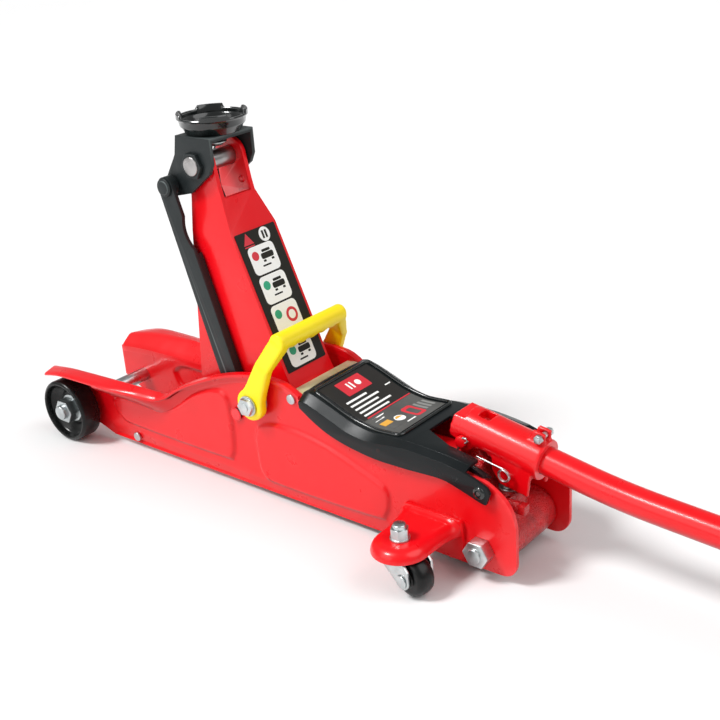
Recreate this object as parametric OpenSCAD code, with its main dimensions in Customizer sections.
// Hydraulic trolley jack: two pressed side plates, a lifting arm on a parallelogram
// linkage, a rear power unit worked by a long handle, two front wheels and two rear casters.
// +X runs from the front wheels to the handle, +Z is up, and Y is across the jack.
// Lengths along X are first given from the front axle; put() then centres the whole jack.

/* [Side plates] */
// Sheet thickness of the side plates
plate_t = 3; // [2.5:0.5:3.5]
// Half the distance between the inner faces of the plates
plate_in_y = 32; // [32:0.5:33]
// Height of the plates' bottom edge above the floor
plate_low_z = 5; // [4:0.5:6]
// How far the pressed panels stand out
panel_h = 2.5; // [2:0.5:2.5]

/* [Front wheels] */
// Radius of a front wheel
front_wheel_r = 26.7; // [26:0.1:27]
// Width of a front wheel
front_wheel_w = 18; // [17:0.5:18]
// Radius of the front axle
axle_r = 6; // [5:0.5:6]

/* [Lifting arm] */
// Length of the arm between its pivot and the head pin
arm_len = 174; // [172:1:175]
// Angle of the arm above the horizontal, as drawn
arm_raise = 72.4; // [70:0.1:73]
// Half the width of the arm
arm_half_w = 23; // [22:0.5:23]
// Thickness of the arm's sheet
arm_t = 3.5; // [3:0.5:3.5]
// Radius of the crank that the ram pushes
crank_len = 38; // [37:0.5:38]

/* [Saddle] */
// Radius of the saddle's rim
saddle_r = 25.6; // [24:0.2:26]
// Height of the saddle's rim above the head pin
saddle_rise = 35.2; // [34:0.2:36]

/* [Power unit] */
// Radius of the cast trunnion barrel
barrel_r = 16.5; // [16:0.5:17]
// Outer radius of the reservoir tube
reservoir_r = 24; // [23:0.5:25]
// Radius of the ram
ram_r = 12; // [11:0.5:12]

/* [Handle] */
// Outer radius of the handle tube
handle_r = 9.5; // [9:0.25:9.5]
// Wall of the handle tube
handle_wall = 1.8; // [1.5:0.1:2]
// Slope of the handle in its socket, in degrees below the horizontal
socket_tilt = 10.3; // [9:0.1:11]
// Slope of the handle past its bend
handle_tilt = 4; // [3:0.5:5]
// Length of the handle past its bend
handle_reach = 395; // [350:5:450]

/* [Casters] */
// Radius of a rear caster wheel
caster_r = 14; // [13.5:0.1:14]
// Width of a rear caster wheel
caster_w = 16.8; // [15:0.1:17]
// Distance of the caster wheel behind its stem
caster_trail = 12; // [11:0.1:12]
// Angle that the casters are swung outwards by, as drawn
caster_swing = 10; // [0:0.5:30]

/* [Hidden] */
$fn = 48;

red = [0.83, 0.05, 0.07];
black = [0.13, 0.15, 0.15];
zinc = [0.75, 0.77, 0.8];
yellow = [1, 0.87, 0.02];

run = 0.06;     // running clearance on a radius
fixed = 0.05;   // clearance of a bolted or riveted shank
gap = 0.3;      // space left between faces that pass each other

plate_out_y = plate_in_y + plate_t;
panel_out_y = plate_out_y + panel_h;
front_x = -27;
rear_x = 431;

// Pivot points in the XZ plane
axle = [0, front_wheel_r];
pivot = [211.5, 80];
head_pivot = pivot + arm_len * [-cos(arm_raise), sin(arm_raise)];
link_step = [-23.5, -16.4];     // from an arm pin to the link pin beside it
link_low = pivot + link_step;
link_top = head_pivot + link_step;
crank_turn = 33.7;              // crank angle past straight down, as drawn
crank = pivot - crank_len * [sin(crank_turn), cos(crank_turn)];
trunnion = [405, 21];
fulcrum = [377, 83.5];           // the handle's pin in the base casting
socket_at = [380, 88];           // a point on the handle's axis, above the pin
tie = [65, 11];
brace_rivet = [246, 90];
cover_screw = [407, 66];

pivot_r = 9;
pin_r = 5;
head_pin_r = 7;
crank_pin_r = 6;
bolt_r = 5;
tie_r = 2.5;

wheel_in_y = 40.6;
wheel_out_y = wheel_in_y + front_wheel_w;
stem = [367, 72];
bracket_top_z = 36;
tab_top_z = 38.5;       // top of the bracket's upright face

grip_r = 12.5;
grip_len = 115;
bend_along = 106.7;             // distance from socket_at to the handle's bend
bend = socket_at + bend_along * [cos(socket_tilt), -sin(socket_tilt)];
handle_end = bend + handle_reach * [cos(handle_tilt), -sin(handle_tilt)];
origin_x = (front_x + handle_end[0] + grip_r * sin(handle_tilt)) / 2;

// ---- helpers ----

module put() { translate([-origin_x, 0, 0]) children(); }

// Drawn on the far side, +Y; the near side is its mirror image
module on_side(far) { mirror([0, far ? 0 : 1, 0]) children(); }

module both_sides() {
    children();
    mirror([0, 1, 0]) children();
}

// A flat XZ outline given thickness from y0 to y1
module slab(y0, y1) { translate([0, y1, 0]) rotate([90, 0, 0]) linear_extrude(y1 - y0) children(); }

module rod(at, y0, y1, r) { translate([at[0], y0, at[1]]) rotate([-90, 0, 0]) cylinder(r=r, h=y1 - y0); }

module hex(at, y0, y1, across) {
    translate([at[0], y0, at[1]]) rotate([-90, 0, 0]) cylinder(r=across / sqrt(3), h=y1 - y0, $fn=6);
}

module tube(at, y0, y1, r, bore) {
    difference() {
        rod(at, y0, y1, r);
        rod(at, y0 - 1, y1 + 1, bore);
    }
}

// A rod along +X
module bar(x0, x1, z, r) { translate([x0, 0, z]) rotate([0, 90, 0]) cylinder(r=r, h=x1 - x0); }

module disc(at, r) { translate(at) circle(r=r); }

// Smooth curve through points: n steps between each pair
function curve_point(a, b, c, d, t) =
    0.5 * (2 * b + (c - a) * t + (2 * a - 5 * b + 4 * c - d) * t * t + (3 * b - a - 3 * c + d) * t * t * t);
function smooth(p, n=4) = [
    for (i = [0 : len(p) - 2], k = [0 : n - 1])
        curve_point(p[max(i - 1, 0)], p[i], p[i + 1], p[min(i + 2, len(p) - 1)], k / n),
    p[len(p) - 1]
];
function smooth_ring(p, n=4) = [
    for (i = [0 : len(p) - 1], k = [0 : n - 1])
        curve_point(p[(i + len(p) - 1) % len(p)], p[i], p[(i + 1) % len(p)], p[(i + 2) % len(p)], k / n)
];
function arc(at, r, from, to, n=8) = [
    for (k = [0 : n]) let (a = from + (to - from) * k / n) at + r * [cos(a), sin(a)]
];
function lowered(p, by) = [for (q = p) q - [0, by]];
function shrunk(p, at, by) = [for (q = p) at + (q - at) * by];

// ---- side plates ----

// The fold along the top of a plate, front to rear
plate_top = [
    [-14.5, 62], [0, 66.2], [25, 68], [60, 67.5], [82, 63], [100, 59.5], [112, 62], [128, 72],
    [154, 84.5], [182, 95], [212, 101.5], [240, 101], [254, 94.5], [266, 90.5], [276, 87.5], [290, 82.5],
    [302, 79], [318, 76.5], [345, 74.5], [380, 73], [403, 72.5], [413, 69.5], [423, 62.5], [428.5, 54], [431, 44]
];
// The outer edge of the turned-out flange: [x, y, z], beside the first points of plate_top
flange_edge = [
    [-20, 57, 57], [0, 58.5, 61.5], [25, 58.5, 62.5], [60, 57, 62.5], [84, 52, 61],
    [101, 46.5, 58.5], [113, 42.5, 61.3], [128, 41, 71.4], [154, 40, 84], [182, 38.4, 94.5],
    [212, 37.4, 101], [240, 37.2, 100.5], [254, 37.2, 94.3]
];
flange_t = 2.8;
corner_r = 13;

plate_outline = concat(
    [[front_x, 21], [front_x, 49]],
    smooth(plate_top),
    arc([rear_x - corner_r, plate_low_z + corner_r], corner_r, 0, -90),
    [[35, plate_low_z], [17, plate_low_z + 5.5], [-5, plate_low_z + 5.5]]
);
front_panel = smooth_ring([
    [40, 46], [50, 57], [75, 58], [100, 50], [118, 54], [140, 69], [162, 79], [176, 80], [183, 70],
    [184, 40], [180, 24], [168, 20], [66, 20], [48, 24], [40, 34]
]);
rear_panel = smooth_ring([
    [205, 34], [206, 56], [222, 66], [250, 67], [280, 62], [308, 53], [328, 45], [332, 34],
    [328, 20], [316, 15], [226, 13], [209, 18]
]);

// A strip of thickness t between an inner and an outer line of [x, y, z] points
module strip(inner, outer, t) {
    drop = [0, 0, t];
    points = [for (i = [0 : len(inner) - 1]) each [inner[i], outer[i], outer[i] - drop, inner[i] - drop]];
    last = 4 * (len(inner) - 1);
    sides = [
        for (i = [0 : len(inner) - 2], k = [0 : 3])
            let (a = 4 * i + k, b = 4 * i + (k + 1) % 4) each [[b, a + 4, a], [b + 4, a + 4, b]]
    ];
    ends = [[2, 1, 0], [3, 2, 0], [last, last + 1, last + 2], [last, last + 2, last + 3]];
    polyhedron(points, concat(ends, sides));
}

module flange() {
    fold = [for (i = [0 : len(flange_edge) - 1]) [plate_top[i][0], plate_in_y, plate_top[i][1]]];
    strip(smooth(fold), smooth(flange_edge), flange_t);
}

module side_plate(far) {
    color(red) put() on_side(far) difference() {
        union() {
            slab(plate_in_y, plate_out_y) polygon(plate_outline);
            slab(plate_out_y - 1, panel_out_y) {
                polygon(front_panel);
                polygon(rear_panel);
            }
            flange();
        }
        slab(plate_in_y - 1, plate_in_y + panel_h) {
            polygon(shrunk(front_panel, [112, 45], 0.95));
            polygon(shrunk(rear_panel, [268, 40], 0.95));
        }
        plate_hole(axle, axle_r);
        plate_hole(pivot, pivot_r);
        plate_hole(link_low, pin_r);
        plate_hole(trunnion, bolt_r);
        plate_hole(tie, tie_r);
        plate_hole(brace_rivet, tie_r);
        plate_hole(cover_screw, tie_r);
    }
}

module plate_hole(at, r) { rod(at, plate_in_y - 2, panel_out_y + 2, r + fixed); }

module side_plate_near() { side_plate(false); }
module side_plate_far() { side_plate(true); }

module front_tie_bar() {
    color(red) put() difference() {
        rod(tie, -plate_in_y, plate_in_y, 5);
        both_sides() rod(tie, plate_in_y - 15, plate_in_y + 1, tie_r + fixed);
    }
}

module cross_brace() {
    color(zinc) put() difference() {
        slab(-plate_in_y, plate_in_y)
            polygon([[242, 84], [250, 84], [251, 91.5], [262, 91.5], [262, 94.5], [249, 94.5], [242, 93.5]]);
        both_sides() rod(brace_rivet, plate_in_y - 15, plate_in_y + 1, tie_r + fixed);
    }
}

// Small screws that hold the tie bar and the brace to the plates
module tie_screws() {
    color(zinc) put() both_sides() for (at = [tie, brace_rivet]) {
        rod(at, plate_in_y - 10, plate_out_y, tie_r);
        rod(at, plate_out_y, plate_out_y + 2, 3.8);
    }
}

// ---- front wheels ----

module front_axle() { color(zinc) put() rod(axle, -wheel_out_y - 4, wheel_out_y + 4, axle_r); }

module axle_spacers() {
    color(zinc) put() both_sides() tube(axle, plate_out_y, wheel_in_y - gap, 9, axle_r + fixed);
}

web_out_y = wheel_in_y + 7.4;

module wheel_washers() {
    color(zinc) put() both_sides() tube(axle, web_out_y + gap, web_out_y + 2, 12, axle_r + fixed);
}

module axle_nuts() {
    color(zinc) put() both_sides() difference() {
        hex(axle, web_out_y + 2, web_out_y + 11, 18);
        rod(axle, web_out_y, web_out_y + 12, axle_r + fixed);
    }
}

// Wheel section: radius, then distance from the inner face
module front_wheel(far) {
    hub = axle_r + run;
    r = front_wheel_r;
    w = front_wheel_w;
    color(black) put() on_side(far) translate([axle[0], wheel_in_y, axle[1]]) rotate([-90, 0, 0])
        rotate_extrude() polygon([
            [hub, 0], [12, 0], [13, 2.5], [21, 2.5], [22, 0], [r - 1.5, 0], [r, 1.5], [r, w - 2],
            [r - 1, w - 0.5], [r - 2.2, w], [r - 3.4, w - 0.6], [r - 4, w - 5], [r - 6, w - 8],
            [15, w - 9.6], [14.2, 7.4], [hub, 7.4]
        ]);
}

module front_wheel_near() { front_wheel(false); }
module front_wheel_far() { front_wheel(true); }

// ---- rear casters ----

tongue_r = 19.8;
skirt_low_z = 28;

function tongue(r) = concat(
    [[stem[0] - r - 6, plate_out_y], [stem[0] - r, stem[1] - 4]],
    arc(stem, r, 180, 0, 16),
    [[stem[0] + r + 0.6, stem[1] - 4], [stem[0] + r + 0.6, plate_out_y]]
);

module caster_bracket(far) {
    color(red) put() on_side(far) difference() {
        union() {
            translate([0, 0, skirt_low_z]) linear_extrude(bracket_top_z - skirt_low_z) polygon(tongue(tongue_r));
            slab(plate_out_y, plate_out_y + 3)
                polygon([[343.5, tab_top_z], [391.8, tab_top_z], [391.8, 10], [381, 8], [352, 28]]);
        }
        translate([0, 3.3, skirt_low_z - 1]) linear_extrude(bracket_top_z - 3 - skirt_low_z + 1)
            polygon(tongue(tongue_r - 3));
        translate([stem[0], stem[1], 0]) cylinder(r=stem_r + fixed, h=60);
    }
}

module caster_bracket_near() { caster_bracket(false); }
module caster_bracket_far() { caster_bracket(true); }

fork_top_z = 30.8;
stem_r = 4.5;
fork_t = 2;
leg_in = caster_w / 2 + 1;

module caster_stems() {
    color(zinc) put() both_sides() translate([stem[0], stem[1], 0]) {
        translate([0, 0, fork_top_z - fork_t]) cylinder(r=stem_r, h=18.4);
        translate([0, 0, fork_top_z - fork_t - 1.8]) cylinder(r=6.5, h=1.75);
        translate([0, 0, fork_top_z - fork_t - 0.1]) cylinder(r=stem_r, h=1);
    }
}

module caster_nuts() {
    color(zinc) put() both_sides() translate([stem[0], stem[1], bracket_top_z]) difference() {
        union() {
            cylinder(r=6.8, h=1.4);
            translate([0, 0, 1]) cylinder(r=11 / sqrt(3), h=7.2, $fn=6);
        }
        translate([0, 0, -1]) cylinder(r=stem_r + fixed, h=12);
    }
}

// Stem axis at the origin, trail along +X
module at_caster(far) {
    put() on_side(far) translate([stem[0], stem[1], 0]) rotate([0, 0, caster_swing]) children();
}

hub_at = [caster_trail, caster_r];

module caster_fork(far) {
    leg = concat(
        [[-11, fork_top_z], [10, fork_top_z], [17.5, 22]],
        arc(hub_at, 6, 0, -150),
        [[-11, 25]]
    );
    color(zinc) at_caster(far) difference() {
        union() {
            both_sides() slab(leg_in, leg_in + fork_t) polygon(leg);
            translate([-9, -leg_in - fork_t, fork_top_z - fork_t])
                cube([19, 2 * (leg_in + fork_t), fork_t]);
            translate([0, 0, fork_top_z - fork_t]) cylinder(r=12.5, h=fork_t);
            translate([0, 0, fork_top_z - 0.5]) cylinder(r=11, h=2.4);
        }
        cylinder(r=stem_r + run, h=60);
        rod(hub_at, -30, 30, 3 + fixed);
    }
}

module caster_fork_near() { caster_fork(false); }
module caster_fork_far() { caster_fork(true); }

module caster_rivet(far) {
    color(zinc) at_caster(far) {
        rod(hub_at, -leg_in - fork_t, leg_in + fork_t, 3);
        both_sides() rod(hub_at, leg_in + fork_t, leg_in + fork_t + 1.2, 4.6);
    }
}

module caster_rivet_near() { caster_rivet(false); }
module caster_rivet_far() { caster_rivet(true); }

module caster_wheel(far) {
    half = caster_w / 2;
    r = caster_r;
    color(black) at_caster(far) translate([hub_at[0], 0, hub_at[1]]) rotate([-90, 0, 0])
        rotate_extrude() polygon([
            [3 + run, -half], [5.5, -half], [6.5, -half + 1], [r - 4, -half + 1], [r - 1.5, -half + 2.2],
            [r, -half + 5], [r, half - 5], [r - 1.5, half - 2.2], [r - 4, half - 1], [6.5, half - 1],
            [5.5, half], [3 + run, half]
        ]);
}

module caster_wheel_near() { caster_wheel(false); }
module caster_wheel_far() { caster_wheel(true); }

// ---- lifting arm ----

arm_back_top = [188.3, 201.5];
arm_back_low = [231, 99.6];
ear_in_y = 13.5;
ear_out_y = 17;
ear_r = 14;
ear_low_z = 222;
flare_low_z = 198;
hub_r = 11;

// The arm's sloping back edge at height z
function back_at(z) = arm_back_top + (arm_back_low - arm_back_top) * (z - arm_back_top[1])
    / (arm_back_low[1] - arm_back_top[1]);
flare_back = back_at(flare_low_z)[0];

arm_side = concat(
    [[flare_back, flare_low_z], arm_back_low, [239, 84], [236, 62]],
    arc(crank, 10, 0, -110),
    [[158, 54], [143, 66], [139.8, 77.4], [144.2, 133.9], [150.2, flare_low_z]]
);
ear_side = concat(
    arc(head_pivot, ear_r, 195, 0, 12),
    [[176, 230], [178, ear_low_z], [147, ear_low_z]]
);

// The cheek and the back between the narrow ears and the wide body
module flare() {
    both_sides() hull() {
        translate([147, ear_in_y, ear_low_z - 0.5]) cube([31, ear_out_y - ear_in_y, 0.5]);
        translate([150.2, arm_half_w - arm_t, flare_low_z - 0.5]) cube([flare_back - 150.2, arm_t, 0.5]);
    }
    hull() {
        translate([178 - arm_t, -ear_out_y, ear_low_z - 0.5]) cube([arm_t, 2 * ear_out_y, 0.5]);
        translate([flare_back - arm_t, -arm_half_w, flare_low_z - 0.5]) cube([arm_t, 2 * arm_half_w, 0.5]);
    }
}

module lift_arm() {
    color(red) put() difference() {
        union() {
            both_sides() slab(ear_in_y, ear_out_y) polygon(ear_side);
            flare();
            both_sides() slab(arm_half_w - arm_t, arm_half_w) {
                polygon(arm_side);
                disc(pivot, 17);
            }
            slab(-arm_half_w, arm_half_w) polygon([
                [flare_back, flare_low_z], arm_back_low, [239, 84], [235.2, 83], [227.6, 98.6],
                [flare_back - arm_t, flare_low_z - 1.5]
            ]);
        }
        rod(head_pivot, -30, 30, head_pin_r + run);
        rod(pivot, -30, 30, hub_r + fixed);
        rod(crank, -30, 30, crank_pin_r + fixed);
    }
}

module arm_bushes() {
    color("goldenrod") put() both_sides()
        tube(pivot, arm_half_w - arm_t - 1, plate_in_y - gap, hub_r, pivot_r + run);
}

module crank_pin() { color(zinc) put() rod(crank, -arm_half_w, arm_half_w, crank_pin_r); }

// A thin printed sheet on the arm's back
module arm_decal() {
    along = arm_back_low - arm_back_top;
    tilt = atan2(along[1], along[0]);
    color([0.08, 0.08, 0.07]) put() translate([arm_back_top[0], 0, arm_back_top[1]]) rotate([0, -tilt, 0])
        translate([5, -19, 0.1]) cube([norm(along) - 7, 38, 0.35]);
}

module arm_pivot_shaft() {
    color(zinc) put() difference() {
        rod(pivot, -panel_out_y + 0.6, panel_out_y - 0.6, pivot_r);
        both_sides() rod(pivot, 20, 50, pin_r + fixed);
    }
}

// ---- parallel links ----

link_out_y = 31;
link_in_y = 24.2;
link_t = 3;
link_r = 9;
link_tip_r = 7.5;
link_angle = 180 - arm_raise;

// One link, drawn along +X from its lower pin to its upper pin
module link(far) {
    color(black) put() on_side(far) translate([link_low[0], 0, link_low[1]]) rotate([0, -link_angle, 0])
        difference() {
            union() {
                slab(link_out_y - link_t, link_out_y) link_face();
                slab(link_in_y, link_out_y) intersection() {
                    link_face();
                    link_edges();
                }
                slab(link_in_y, link_out_y) {
                    circle(r=link_r);
                    disc([arm_len, 0], link_tip_r);
                }
            }
            rod([0, 0], 0, 50, pin_r + run);
            rod([arm_len, 0], 0, 50, pin_r + run);
        }
}

// Outline of a link: a bar with a hollow in its rear edge that clears the arm
module link_face() {
    difference() {
        union() {
            polygon([[0, -link_r], [arm_len, -link_tip_r], [arm_len, link_tip_r], [0, link_r]]);
            circle(r=link_r);
            disc([arm_len, 0], link_tip_r);
        }
        disc([arm_len - 36, -26], 22);
    }
}

module link_edges() {
    polygon([[0, link_r - 2.5], [arm_len, link_tip_r - 2.5], [arm_len, link_r + 1], [0, link_r + 1]]);
    translate([0, -link_r - 0.5]) square([arm_len - 52, 3]);
}

module link_rod_near() { link(false); }
module link_rod_far() { link(true); }

module link_pivot_pins() { color(zinc) put() both_sides() rod(link_low, link_in_y - 1, plate_out_y, pin_r); }

module link_top_bolts() {
    color(black) put() both_sides() {
        rod(link_top, 16, link_out_y + 2.6, pin_r);
        rod(link_top, link_out_y + gap, link_out_y + 1.6, 6.8);
    }
}

// ---- head and saddle ----

cheek_in_y = 19;
cheek_out_y = 22;
cap_z = head_pivot[1] + 17.2;
cap_t = 3;
saddle_x = head_pivot[0] + 1;
stud_r = 6;

cheek_side = concat(
    [[head_pivot[0] - 16, cap_z + cap_t], [head_pivot[0] + 18.5, cap_z + cap_t]],
    [[head_pivot[0] + 18.5, head_pivot[1] + 2], [head_pivot[0] + 15, head_pivot[1] - 5]],
    [[head_pivot[0] - 6, head_pivot[1] - 21]],
    arc(link_top, 8.5, -70, -200),
    [[head_pivot[0] - 19, head_pivot[1] + 6]]
);

module head_bracket() {
    color(black) put() difference() {
        union() {
            both_sides() slab(cheek_in_y, cheek_out_y) polygon(cheek_side);
            translate([head_pivot[0] - 16, -cheek_out_y, cap_z]) cube([34.5, 2 * cheek_out_y, cap_t]);
        }
        rod(head_pivot, -30, 30, head_pin_r + fixed);
        rod(link_top, -30, 30, pin_r + fixed);
        translate([saddle_x, 0, cap_z - 1]) cylinder(r=stud_r + run, h=cap_t + 2);
    }
}

module head_pin() { color(zinc) put() rod(head_pivot, -cheek_out_y - 4, cheek_out_y + 4, head_pin_r); }

module head_pin_nuts() {
    color(black) put() both_sides() difference() {
        hex(head_pivot, cheek_out_y, cheek_out_y + 3.2, 17.5);
        rod(head_pivot, cheek_out_y - 1, cheek_out_y + 5, head_pin_r + fixed);
    }
}

saddle_low_z = cap_z + cap_t + 0.1;
saddle_rim_z = head_pivot[1] + saddle_rise;
saddle_floor = 3.5;     // thickness of the saddle's floor
lug_h = 4;
lug_turn = 4.5;

module saddle() {
    deep = saddle_rim_z - saddle_low_z;
    color(black) put() translate([saddle_x, 0, saddle_low_z]) difference() {
        rotate_extrude() polygon([
            [0, -10], [stud_r, -10], [stud_r, 0], [20, 0], [22.5, 5], [23.5, 5.5], [24.4, 10],
            [saddle_r, 11], [saddle_r, deep], [saddle_r - 2, deep], [saddle_r - 3.6, deep - lug_h - 1],
            [20, 6], [18.5, saddle_floor], [0, saddle_floor]
        ]);
        for (k = [0 : 3]) rotate([0, 0, lug_turn + 90 * k])
            translate([15, -9.5, deep - lug_h]) cube([15, 19, lug_h + 1]);
        translate([0, 0, -8]) difference() {
            cylinder(r=stud_r + 1, h=1.2);
            translate([0, 0, -1]) cylinder(r=stud_r - 1, h=4);
        }
    }
}

module saddle_clip() {
    color(zinc) put() translate([saddle_x, 0, saddle_low_z - 7.9]) difference() {
        cylinder(r=8.5, h=1);
        translate([0, 0, -1]) cylinder(r=stud_r - 1 + fixed, h=3);
    }
}

// ---- carrying handle ----

eye_in_y = panel_out_y + 0.5;
eye_out_y = 45;
eye_r = 12.3;
grip_raise = 64;        // angle of the handle above the horizontal, as drawn
grip_dist = 56;         // from the pivot to the middle of the bar
grip_bar_r = 6.7;
grip_half = 35.5;       // half the length of the bar

// Drawn with the bar straight out along +X, then raised
module carry_handle() {
    color(yellow) put() translate([pivot[0], 0, pivot[1]]) rotate([0, -grip_raise, 0]) difference() {
        union() {
            both_sides() {
                slab(eye_in_y, eye_out_y) {
                    circle(r=eye_r);
                    polygon([[0, -11], [15, -8.4], [36, -6.6], [36, 6.6], [15, 8.4], [0, 11]]);
                }
                hull() {
                    translate([35.5, eye_in_y, -6.6]) cube([0.5, eye_out_y - eye_in_y, 13.2]);
                    translate([grip_dist - 6, grip_half - 7, -grip_bar_r]) cube([6, 6.5, 2 * grip_bar_r]);
                }
            }
            rod([grip_dist, 0], -grip_half, grip_half, grip_bar_r);
        }
        rod([0, 0], -50, 50, pin_r + run);
    }
}

module handle_bolts() {
    color(zinc) put() both_sides() {
        rod(pivot, 22, eye_out_y + 1, pin_r);
        rod(pivot, eye_out_y + gap, eye_out_y + 1.4, 7.8);
        hex(pivot, eye_out_y + 1.3, eye_out_y + 4.6, 12);
        rod(pivot, eye_out_y + 4, eye_out_y + 5.4, 3.6);
    }
}

// ---- power unit ----

unit_z = 46;
unit_front_x = 262;
unit_rear_x = 386;
pump_x = 405;
boss_r = 11;
boss_top_z = 52;
pump_r = 6;
valve_at = [-15.5, 48];    // y and z of the release valve
lug_y = 9.5;
lug_r = 8;

module base_casting() {
    color(red) put() difference() {
        union() {
            rod(trunnion, -plate_in_y + 0.2, plate_in_y - 0.2, barrel_r);
            bar(378, 392, unit_z, reservoir_r + 3);
            slab(-20, 20) polygon([[380, 20], [405, 8], [405, 41], [392, 62], [380, 62]]);
            translate([pump_x, 0, 24]) cylinder(r=boss_r, h=boss_top_z - 24);
            slab(-lug_y, lug_y) {
                polygon([[379, 60], [396, 56], [384.9, 83], [369.1, 83], [373, 66]]);
                disc(fulcrum, lug_r);
            }
            translate([384, valve_at[0], valve_at[1]]) rotate([0, 90, 0]) cylinder(r=6.2, h=28);
            slab(-21.7, -9) polygon([[384, 30], [412, 30], [412, 48], [384, 48]]);
        }
        both_sides() rod(trunnion, 14, 40, bolt_r + fixed);
        rod(fulcrum, -20, 20, pin_r - 1 + run);
        bar(370, unit_rear_x, unit_z, reservoir_r + fixed);
        translate([pump_x, 0, 30]) cylinder(r=pump_r + 2 + fixed, h=30);
        translate([401, valve_at[0], valve_at[1]]) rotate([0, 90, 0]) cylinder(r=4 + run, h=20);
    }
}

module trunnion_bolts() {
    color(zinc) put() both_sides() {
        rod(trunnion, 16, plate_out_y + 1, bolt_r);
        hex(trunnion, plate_out_y, plate_out_y + 9, 17);
        rod(trunnion, plate_out_y + 9, plate_out_y + 11, bolt_r);
    }
}

module reservoir_tube() {
    color(red) put() difference() {
        bar(unit_front_x, unit_rear_x, unit_z, reservoir_r);
        bar(unit_front_x - 1, unit_rear_x + 1, unit_z, reservoir_r - 2.5);
        translate([330, 0, unit_z]) cylinder(r=4, h=40);
    }
}

module filler_plug() {
    color([0.1, 0.1, 0.1]) put() translate([330, 0, 0]) {
        translate([0, 0, unit_z + reservoir_r - 3]) cylinder(r=3.9, h=3.5);
        translate([0, 0, unit_z + reservoir_r]) cylinder(r=5.5, h=2.5);
    }
}

module ram_cylinder() {
    color(zinc) put() difference() {
        bar(unit_front_x + 2, unit_rear_x, unit_z, ram_r + 4.5);
        bar(unit_front_x, unit_rear_x - 5, unit_z, ram_r + 1);
    }
}

module gland_nut() {
    color(zinc) put() difference() {
        union() {
            bar(unit_front_x - 5, unit_front_x, unit_z, reservoir_r - 1);
            bar(unit_front_x - 1, unit_front_x + 2, unit_z, reservoir_r - 2.5 - fixed);
        }
        bar(unit_front_x - 10, unit_front_x + 8, unit_z, ram_r + run);
    }
}

ram_front_x = crank[0] + 13.5;
ram_back_x = 330;

module ram() {
    color(zinc) put() difference() {
        bar(ram_front_x, ram_back_x, unit_z, ram_r);
        difference() {
            bar(ram_back_x - 9, ram_back_x - 5, unit_z, ram_r + 1);
            bar(ram_back_x - 10, ram_back_x - 4, unit_z, ram_r - 2);
        }
    }
}

module ram_seal() {
    color([0.1, 0.1, 0.1]) put() difference() {
        bar(ram_back_x - 8.9, ram_back_x - 5.1, unit_z, ram_r + 1 - run);
        bar(ram_back_x - 10, ram_back_x - 4, unit_z, ram_r - 2 + fixed);
    }
}

slot_half = crank_pin_r + 0.8;

// The fork on the ram's nose: the crank pin rises and falls in its slot
module ram_yoke() {
    color(zinc) put() difference() {
        slab(-ram_r, ram_r) polygon([
            [crank[0] - 11, 32], [ram_front_x, 32], [ram_front_x, 60], [crank[0] - 11, 60]
        ]);
        slab(-20, 20) polygon([
            [crank[0] - slot_half, 35.4], [crank[0] + slot_half, 35.4],
            [crank[0] + slot_half, 56.2], [crank[0] - slot_half, 56.2]
        ]);
    }
}

// Each coil is drawn as a plain sleeve between the crank pin and the gland
module return_springs() {
    color(zinc) put() both_sides() difference() {
        translate([crank[0] + crank_pin_r + 1, 15.8, crank[1]]) rotate([0, 90, 0])
            cylinder(r=3, h=unit_front_x - 5.1 - crank[0] - crank_pin_r - 1);
        translate([crank[0], 15.8, crank[1]]) rotate([0, 90, 0]) cylinder(r=2, h=100);
    }
}

plunger_top_z = 62;

module pump_barrel() {
    color(zinc) put() translate([pump_x, 0, 0]) difference() {
        translate([0, 0, 30.1]) cylinder(r=pump_r + 2, h=boss_top_z - 30);
        translate([0, 0, 31.5]) cylinder(r=pump_r + run, h=30);
    }
}

module pump_plunger() {
    color(zinc) put() translate([pump_x, 0, 0]) {
        translate([0, 0, 32]) cylinder(r=pump_r, h=plunger_top_z - 34);
        translate([0, 0, plunger_top_z - 3.1]) cylinder(r=8.8, h=3);
    }
}

module release_valve() {
    color(red) put() translate([403, valve_at[0], valve_at[1]]) {
        rotate([0, 90, 0]) cylinder(r=4, h=19);
        translate([18, -3.1, -3.1]) cube([6, 6.2, 6.2]);
    }
}

// ---- pump handle ----

socket_r = 14;
socket_front = -13;
socket_end = 53;
pin_local = [-2.15, -4.97];      // the fulcrum pin, in the socket's frame
clamp = [48, 16.4];
foot_at = [28.5, -17.2];

// The socket's axis along +X, socket_at at the origin
module at_socket() {
    put() translate([socket_at[0], 0, socket_at[1]]) rotate([0, socket_tilt, 0]) children();
}

module handle_socket() {
    color(red) at_socket() difference() {
        union() {
            bar(socket_front, socket_end, 0, socket_r);
            both_sides() slab(lug_y + gap, socket_r - 0.4) disc(pin_local, 8);
            both_sides() slab(10, 13) polygon([[20, -6], [50, -6], [51, -24], [30, -24], [22, -16]]);
            rod(foot_at, -11, 11, 4);
            both_sides() slab(2, 5) polygon([[40, 12], [52, 12], [51, 20], [42, 20]]);
        }
        translate([socket_front - 1, -lug_y - gap, -30]) cube([29, 2 * (lug_y + gap), 35]);
        translate([socket_front - 1, -20, -socket_r - 1]) cube([7, 40, 9]);
        translate([10, -20, -socket_r - 1]) cube([6, 40, 9]);
        translate([2, -5, 6]) cube([9, 10, 10]);
        translate([socket_front - 1, -20, 10]) cube([9, 40, 10]);
        rod(pin_local, -20, 20, pin_r - 1 + fixed);
        bar(16.5, socket_end + 1, 0, handle_r + fixed);
        rod(clamp, -10, 10, 2 + fixed);
    }
}

module fulcrum_pin() {
    color(zinc) at_socket() {
        rod(pin_local, -17, 17, pin_r - 1);
        rod(pin_local, 14.1, 15.5, 6.5);
    }
}

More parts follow.
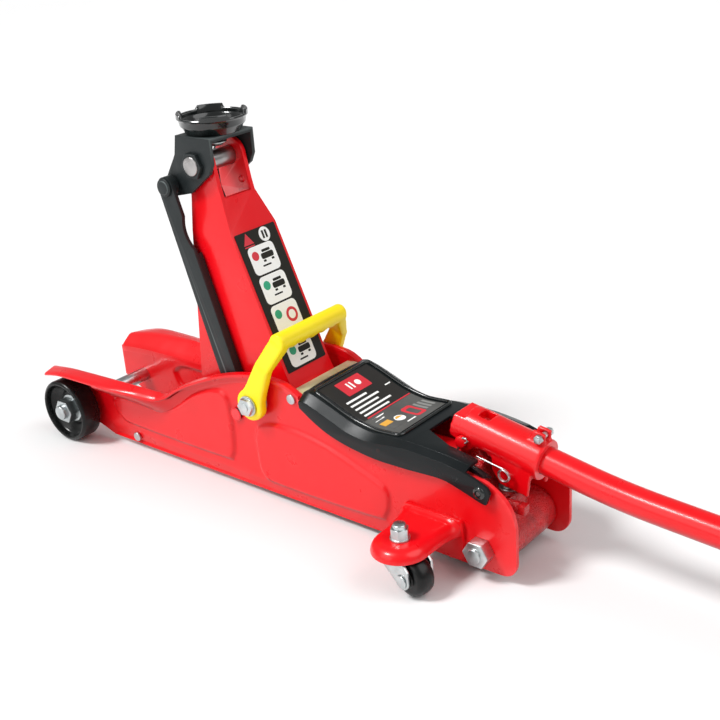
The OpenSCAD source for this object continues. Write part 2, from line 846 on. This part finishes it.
module clamp_bolt() {
    color(zinc) at_socket() {
        rod(clamp, -9, 9, 2);
        hex(clamp, -7.5, -5, 5.5);
        hex(clamp, 5, 7.5, 5.5);
    }
}

// One open loop of wire on each side of the pump
module torsion_spring() {
    color(zinc) at_socket() both_sides() {
        translate([34, 18, -13]) rotate([90, 0, 0]) rotate_extrude() translate([4, 0]) circle(r=0.8, $fn=16);
        translate([12, 18, -9.3]) rotate([0, 92, 0]) cylinder(r=0.8, h=19, $fn=16);
        translate([12, 15.6, -9.3]) rotate([-90, 0, 0]) cylinder(r=0.8, h=3.1, $fn=16);
    }
}

lower_len = 150;    // length of the lower tube past its bend
upper_r = handle_r - handle_wall - fixed;

// Bend at the origin, the rest of the handle along +X
module at_bend() {
    put() translate([bend[0], 0, bend[1]]) rotate([0, handle_tilt, 0]) children();
}

bend_reach = 5;     // how far the rounding of the bend runs each way
tube_sides = 40;

// A ring of points across the handle, round a point of the XZ plane
function across(at, tilt, r) = [
    for (k = [0 : tube_sides - 1]) let (a = 360 * k / tube_sides)
        [at[0] + r * sin(a) * sin(tilt), r * cos(a), at[1] + r * sin(a) * cos(tilt)]
];

// The lower tube's rings, lengthened by "more" at both ends
function tube_rings(r, more) = let (
    to = [cos(socket_tilt), -sin(socket_tilt)],
    away = [cos(handle_tilt), -sin(handle_tilt)]
) concat(
    across(socket_at + (17 - more) * to, socket_tilt, r),
    across(bend - bend_reach * to, socket_tilt, r),
    across(bend + 0.07 * (away - to), (socket_tilt + handle_tilt) / 2, r),
    across(bend + bend_reach * away, handle_tilt, r),
    across(bend + (lower_len + more) * away, handle_tilt, r)
);

module solid_tube(r, more) {
    n = tube_sides;
    points = tube_rings(r, more);
    walls = [
        for (i = [0 : len(points) / n - 2], k = [0 : n - 1])
            let (a = i * n + k, b = i * n + (k + 1) % n) each [[a, a + n, b], [b, a + n, b + n]]
    ];
    front = [for (k = [0 : n - 1]) k];
    back = [for (k = [n - 1 : -1 : 0]) len(points) - n + k];
    polyhedron(points, concat([front, back], walls));
}

module handle_lower() {
    color(red) put() difference() {
        solid_tube(handle_r, 0);
        solid_tube(handle_r - handle_wall, 1);
    }
}

module handle_upper() {
    color(red) at_bend() difference() {
        union() {
            bar(lower_len - 45, lower_len, 0, upper_r);
            bar(lower_len, handle_reach - 3, 0, handle_r);
        }
        bar(lower_len - 46, handle_reach, 0, upper_r - handle_wall);
    }
}

module handle_grip() {
    color([0.12, 0.12, 0.12]) at_bend() difference() {
        bar(handle_reach - grip_len, handle_reach, 0, grip_r);
        bar(handle_reach - grip_len - 1, handle_reach - 3, 0, handle_r + fixed);
    }
}

// ---- top cover ----

cover_t = 2.2;
cover_in_y = panel_out_y + 0.3;
cover_out_y = cover_in_y + cover_t;
cover_flat_y = 33.5;     // half the width of the cover's flat top

cover_top = smooth([
    [256.5, 97.2], [262, 98], [269, 96], [277, 93.2], [288, 88.8], [299, 85], [308, 83], [317, 82],
    [327, 82.4], [339, 83.3], [354, 83.4], [377, 82.2], [396, 79.6]
], 3);
cover_low = smooth([
    [412, 58.7], [407.6, 59.2], [392.5, 63.9], [377, 67.3], [351, 66.2], [324, 66], [301.6, 68.8],
    [284, 73.2], [270, 79.5], [257, 87.6]
]);
tab_end = [[403, 75], [413, 71], [415, 67]];
cover_slot = [[349, -12], [372, -22], [420, -26], [420, 26], [372, 22], [349, 12]];

// How far the cover's shoulder falls from the flat top to the skirt
function shoulder(x) = x < 300 ? 5 : max(2.5, 5 - (x - 300) * 0.05);
cover_edge = [for (p = cover_top) p - [0, shoulder(p[0])]];
function reversed(p) = [for (i = [len(p) - 1 : -1 : 0]) p[i]];

module top_cover() {
    color(black) put() difference() {
        union() {
            both_sides() slab(cover_in_y, cover_out_y)
                polygon(concat(lowered(cover_edge, 0.2), tab_end, cover_low));
            both_sides() strip(
                [for (p = cover_top) [p[0], cover_flat_y - 0.5, p[1]]],
                [for (p = cover_edge) [p[0], cover_out_y, p[1]]],
                cover_t
            );
            slab(-cover_flat_y, cover_flat_y)
                polygon(concat(cover_top, reversed(lowered(cover_top, cover_t))));
        }
        translate([0, 0, 60]) linear_extrude(50) polygon(cover_slot);
        both_sides() rod(cover_screw, plate_out_y, cover_out_y + 1, tie_r + fixed);
    }
}

module cover_screws() {
    color(black) put() both_sides() {
        rod(cover_screw, plate_in_y - 4, cover_out_y, tie_r);
        rod(cover_screw, cover_out_y, cover_out_y + 2, 4.5);
    }
}

// A thin printed sheet in the middle of the cover
module cover_label() {
    line = [for (p = cover_top) if (p[0] > 264 && p[0] < 336) p + [0, 0.3]];
    color([0.2, 0.2, 0.2]) put() slab(-27, 27) polygon(concat(line, reversed(lowered(line, 0.25))));
}

// ---- the jack ----

side_plate_near();
side_plate_far();
front_tie_bar();
tie_screws();
cross_brace();
front_axle();
axle_spacers();
wheel_washers();
axle_nuts();
front_wheel_near();
front_wheel_far();
caster_bracket_near();
caster_bracket_far();
caster_stems();
caster_nuts();
caster_fork_near();
caster_fork_far();
caster_rivet_near();
caster_rivet_far();
caster_wheel_near();
caster_wheel_far();
arm_pivot_shaft();
link_pivot_pins();
lift_arm();
arm_bushes();
crank_pin();
arm_decal();
link_rod_near();
link_rod_far();
head_bracket();
head_pin();
head_pin_nuts();
link_top_bolts();
saddle();
saddle_clip();
carry_handle();
handle_bolts();
base_casting();
trunnion_bolts();
reservoir_tube();
ram_cylinder();
gland_nut();
filler_plug();
ram();
ram_yoke();
ram_seal();
return_springs();
pump_barrel();
pump_plunger();
release_valve();
handle_socket();
fulcrum_pin();
clamp_bolt();
torsion_spring();
handle_lower();
handle_upper();
handle_grip();
top_cover();
cover_screws();
cover_label();
